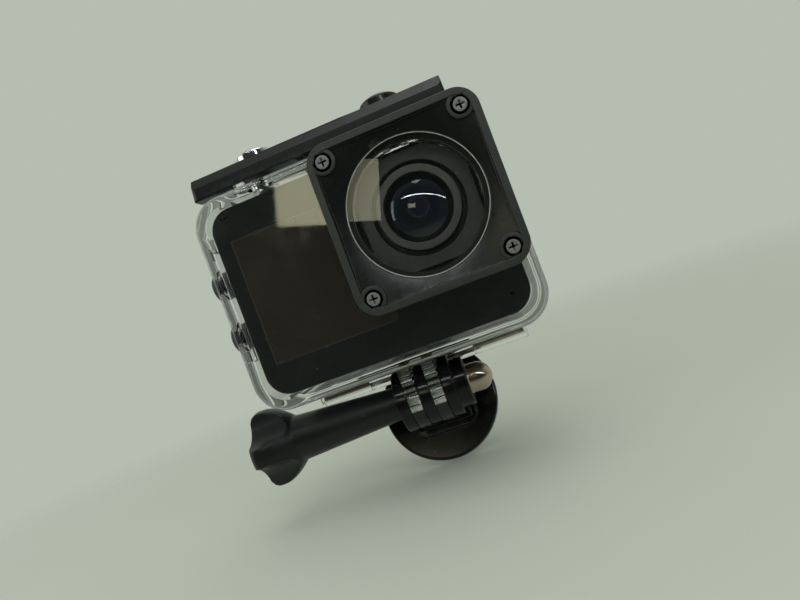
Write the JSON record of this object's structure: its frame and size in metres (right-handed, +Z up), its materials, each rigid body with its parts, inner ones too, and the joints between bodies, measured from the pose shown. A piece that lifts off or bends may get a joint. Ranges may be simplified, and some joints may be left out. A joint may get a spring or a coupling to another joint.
{
  "type": "action camera",
  "caption": "Action camera in a clear dive case with a square lens window, hinged rear door, latch, push buttons and a folding round tripod base held by a thumb screw.",
  "frame": {"origin": "centre of the tripod socket's mouth, on the flat face of the folded base", "axes": "+X to the right seen from the front, +Y from the lens to the rear door, +Z up with the camera level"},
  "size_m": [0.0789, 0.0433, 0.0913],
  "materials": {
    "clear_case": "polished clear polycarbonate",
    "frame_plastic": "satin black",
    "window": "polished optical glass",
    "rubber": "matte",
    "silicone": "translucent grey",
    "black_steel": "blackened",
    "hinge_steel": "plain",
    "steel": "plain",
    "latch_plastic": "fine satin",
    "chrome": "mirror",
    "button_plastic": "gloss",
    "side_button_plastic": "smoky gloss",
    "panel_gloss": "piano black",
    "display": "dark screen glass",
    "plate_plastic": "fine satin",
    "ring_metal": "anodised dark",
    "lens_glass": "coated glass",
    "casing_plastic": "soft matte",
    "battery_wrap": "plain wrap",
    "circuit_board": "solder mask",
    "key_plastic": "satin",
    "base_plastic": "satin black",
    "brass": "machined",
    "nickel": "bright nickel",
    "handle_plastic": "satin black"
  },
  "bodies": {
    "housing": {"case_shell": "clear_case", "lens_frame": "frame_plastic", "window_glass": "window", "window_seal": "rubber", "frame_screws": "black_steel", "hinge_pin": "hinge_steel", "shutter_spring": "steel", "shutter_seal": "rubber", "power_spring": "steel", "power_seal": "rubber", "side_boots": "rubber", "side_seals": "rubber", "front_panel": "panel_gloss", "front_display": "display", "lens_plate": "plate_plastic", "lens_ring": "ring_metal", "lens_barrel": "plate_plastic", "lens_element": "lens_glass", "camera_casing": "casing_plastic", "rear_cover": "casing_plastic", "rear_screen": "display", "cover_screws": "black_steel", "battery": "battery_wrap", "battery_door": "casing_plastic", "main_board": "circuit_board", "image_sensor": "circuit_board"},
    "door": {"rear_door": "clear_case", "door_seal": "silicone"},
    "latch": {"latch_bar": "latch_plastic", "latch_pins": "steel", "strap_pin": "steel"},
    "strap": {"latch_strap": "latch_plastic"},
    "shutter": {"shutter_button": "chrome"},
    "power": {"power_button": "button_plastic"},
    "side_upper": {"side_button_upper": "side_button_plastic"},
    "side_lower": {"side_button_lower": "side_button_plastic"},
    "shutter_key": {"shutter_key": "key_plastic"},
    "power_key": {"power_key": "key_plastic"},
    "upper_key": {"side_key_upper": "key_plastic"},
    "lower_key": {"side_key_lower": "key_plastic"},
    "base": {"tripod_base": "base_plastic", "thread_insert": "brass", "acorn_nut": "nickel"},
    "thumb_screw": {"thumb_handle": "handle_plastic", "clamp_screw": "steel"}
  },
  "joints": [
    {"name": "door_open", "type": "hinge", "parent": "housing", "child": "door", "pos_m": [-0.00095, -0.00273, 0.01163], "axis": [-1, 0, 0], "range_deg": [0, 95]},
    {"name": "base_fold", "type": "hinge", "parent": "housing", "child": "base", "pos_m": [-0.00095, -0.01493, 0.00603], "axis": [1, 0, 0], "range_deg": [-136, 0]},
    {"name": "screw_turn", "type": "hinge", "parent": "base", "child": "thumb_screw", "pos_m": [-0.00095, -0.01493, 0.00603], "axis": [1, 0, 0], "continuous": true},
    {"name": "latch_lift", "type": "hinge", "parent": "housing", "child": "latch", "pos_m": [-0.00095, -0.02583, 0.06833], "axis": [-1, 0, 0], "range_deg": [0, 60]},
    {"name": "strap_lift", "type": "hinge", "parent": "latch", "child": "strap", "pos_m": [-0.00095, -0.02543, 0.07043], "axis": [1, 0, 0], "range_deg": [0, 85]},
    {"name": "shutter_press", "type": "slide", "parent": "housing", "child": "shutter", "axis": [0, 0, -1], "range_m": [0, 0.0012], "stiffness_N_per_m": 400},
    {"name": "power_press", "type": "slide", "parent": "housing", "child": "power", "axis": [0, 0, -1], "range_m": [0, 0.0012], "stiffness_N_per_m": 400},
    {"name": "side_upper_press", "type": "slide", "parent": "housing", "child": "side_upper", "axis": [1, 0, 0], "range_m": [0, 0.0012], "stiffness_N_per_m": 400},
    {"name": "side_lower_press", "type": "slide", "parent": "housing", "child": "side_lower", "axis": [1, 0, 0], "range_m": [0, 0.0012], "stiffness_N_per_m": 400},
    {"name": "shutter_key_press", "type": "slide", "parent": "housing", "child": "shutter_key", "axis": [0, 0, -1], "range_m": [0, 0.0006]},
    {"name": "power_key_press", "type": "slide", "parent": "housing", "child": "power_key", "axis": [0, 0, -1], "range_m": [0, 0.0006]},
    {"name": "upper_key_press", "type": "slide", "parent": "housing", "child": "upper_key", "axis": [1, 0, 0], "range_m": [0, 0.0006]},
    {"name": "lower_key_press", "type": "slide", "parent": "housing", "child": "lower_key", "axis": [1, 0, 0], "range_m": [0, 0.0006]}
  ],
  "couplings": [
    {"joint": "base_fold", "follows": "door_open", "ratio": -1.43},
    {"joint": "strap_lift", "follows": "latch_lift", "ratio": 1.4},
    {"joint": "shutter_key_press", "follows": "shutter_press", "ratio": 0.5},
    {"joint": "power_key_press", "follows": "power_press", "ratio": 0.5},
    {"joint": "upper_key_press", "follows": "side_upper_press", "ratio": 0.5},
    {"joint": "lower_key_press", "follows": "side_lower_press", "ratio": 0.5}
  ]
}
